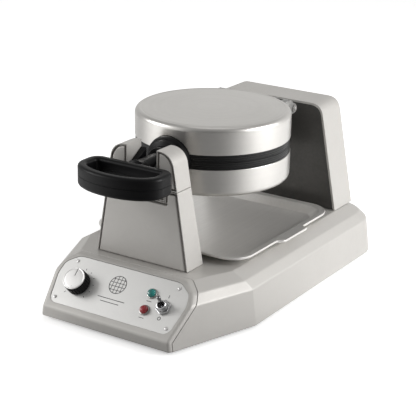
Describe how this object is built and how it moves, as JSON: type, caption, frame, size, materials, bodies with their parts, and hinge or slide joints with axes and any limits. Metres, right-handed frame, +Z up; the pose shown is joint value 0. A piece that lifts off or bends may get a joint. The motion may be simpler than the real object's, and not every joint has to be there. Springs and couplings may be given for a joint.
{
  "type": "rotary waffle maker",
  "caption": "Counter-top waffle maker: a hinged two-part round drum that turns over between a front yoke and a rear tower, above a drip tray on a base with a sloping control panel.",
  "frame": {"origin": "on the floor, under the middle of the base's outline", "axes": "+X to the operator's right when facing the control panel, +Y from the control panel towards the rear tower, +Z up"},
  "size_m": [0.264, 0.444, 0.2253],
  "materials": {
    "cast_paint": "satin warm light grey paint on die castings",
    "face_plate": "satin dark grey",
    "drum_aluminium": "satin spun aluminium",
    "grid_cast": "dark non-stick coating on a casting",
    "black_phenolic": "satin black heat-resistant plastic",
    "foot_rubber": "matte black",
    "plain_steel": "plain machined steel",
    "tray_steel": "brushed stainless steel",
    "panel_silver": "fine matte silver plate",
    "knob_silver": "spun bright silver disc",
    "bright_chrome": "polished chrome",
    "bearing_brass": "plain bearing brass",
    "green_lens": "clear blue-green lamp lens",
    "red_lens": "clear red lamp lens",
    "inner_plastic": "moulded phenolic"
  },
  "bodies": {
    "base": {"base_housing": "cast_paint", "front_fascia": "cast_paint", "base_plate": "plain_steel", "foot_front_left": "foot_rubber", "foot_front_right": "foot_rubber", "foot_rear_left": "foot_rubber", "foot_rear_right": "foot_rubber", "foot_screw_front_left": "plain_steel", "foot_screw_front_right": "plain_steel", "foot_screw_rear_left": "plain_steel", "foot_screw_rear_right": "plain_steel", "control_panel_plate": "panel_silver", "panel_rivet_top_left": "plain_steel", "panel_rivet_top_right": "plain_steel", "panel_rivet_bottom_left": "plain_steel", "panel_rivet_bottom_right": "plain_steel", "thermostat_body": "inner_plastic", "power_switch_body": "bright_chrome", "toggle_nut": "bright_chrome", "ready_lamp_bezel": "black_phenolic", "ready_lamp_lens": "green_lens", "power_lamp_bezel": "black_phenolic", "power_lamp_lens": "red_lens", "post_front_shell": "cast_paint", "post_rear_shell": "cast_paint", "yoke_front_shell": "cast_paint", "yoke_rear_shell": "cast_paint", "yoke_liner": "black_phenolic", "rear_tower": "cast_paint", "tower_face_plate": "face_plate", "bearing_bracket": "plain_steel", "axle_bearing": "bearing_brass", "flip_stop_pin": "plain_steel", "cord_bushing": "black_phenolic", "terminal_block": "inner_plastic"},
    "drum": {"lower_housing": "drum_aluminium", "lower_trim_ring": "black_phenolic", "lower_grid_plate": "grid_cast", "lower_heating_element": "plain_steel", "lower_handle": "black_phenolic", "rear_axle": "plain_steel", "axle_collar": "plain_steel", "hinge_bracket": "drum_aluminium", "hinge_pin": "plain_steel", "hinge_clip_left": "plain_steel", "hinge_clip_right": "plain_steel"},
    "lid": {"upper_housing": "drum_aluminium", "upper_trim_ring": "black_phenolic", "upper_grid_plate": "grid_cast", "upper_heating_element": "plain_steel", "upper_handle": "black_phenolic", "hinge_ears": "drum_aluminium"},
    "temperature_dial": {"temperature_knob": "black_phenolic", "knob_cap": "knob_silver", "thermostat_shaft": "bearing_brass"},
    "power_toggle": {"toggle_lever": "bright_chrome"},
    "tray": {"drip_tray": "tray_steel"}
  },
  "joints": [
    {"name": "drum_flip", "type": "hinge", "parent": "base", "child": "drum", "pos_m": [0, 0.0037, 0.1819], "axis": [0, 1, 0], "range_deg": [-180, 0]},
    {"name": "lid_open", "type": "hinge", "parent": "drum", "child": "lid", "pos_m": [0, 0.112, 0.2069], "axis": [-1, 0, 0], "range_deg": [0, 100]},
    {"name": "dial_turn", "type": "hinge", "parent": "base", "child": "temperature_dial", "pos_m": [-0.056, -0.19434, 0.0435], "axis": [0, -0.6919, 0.722], "range_deg": [-135, 135]},
    {"name": "toggle_flip", "type": "hinge", "parent": "base", "child": "power_toggle", "pos_m": [0.0648, -0.1975, 0.04668], "axis": [1, 0, 0], "range_deg": [0, 28]},
    {"name": "tray_slide", "type": "slide", "parent": "base", "child": "tray", "axis": [1, 0, 0], "range_m": [0, 0.24]}
  ]
}
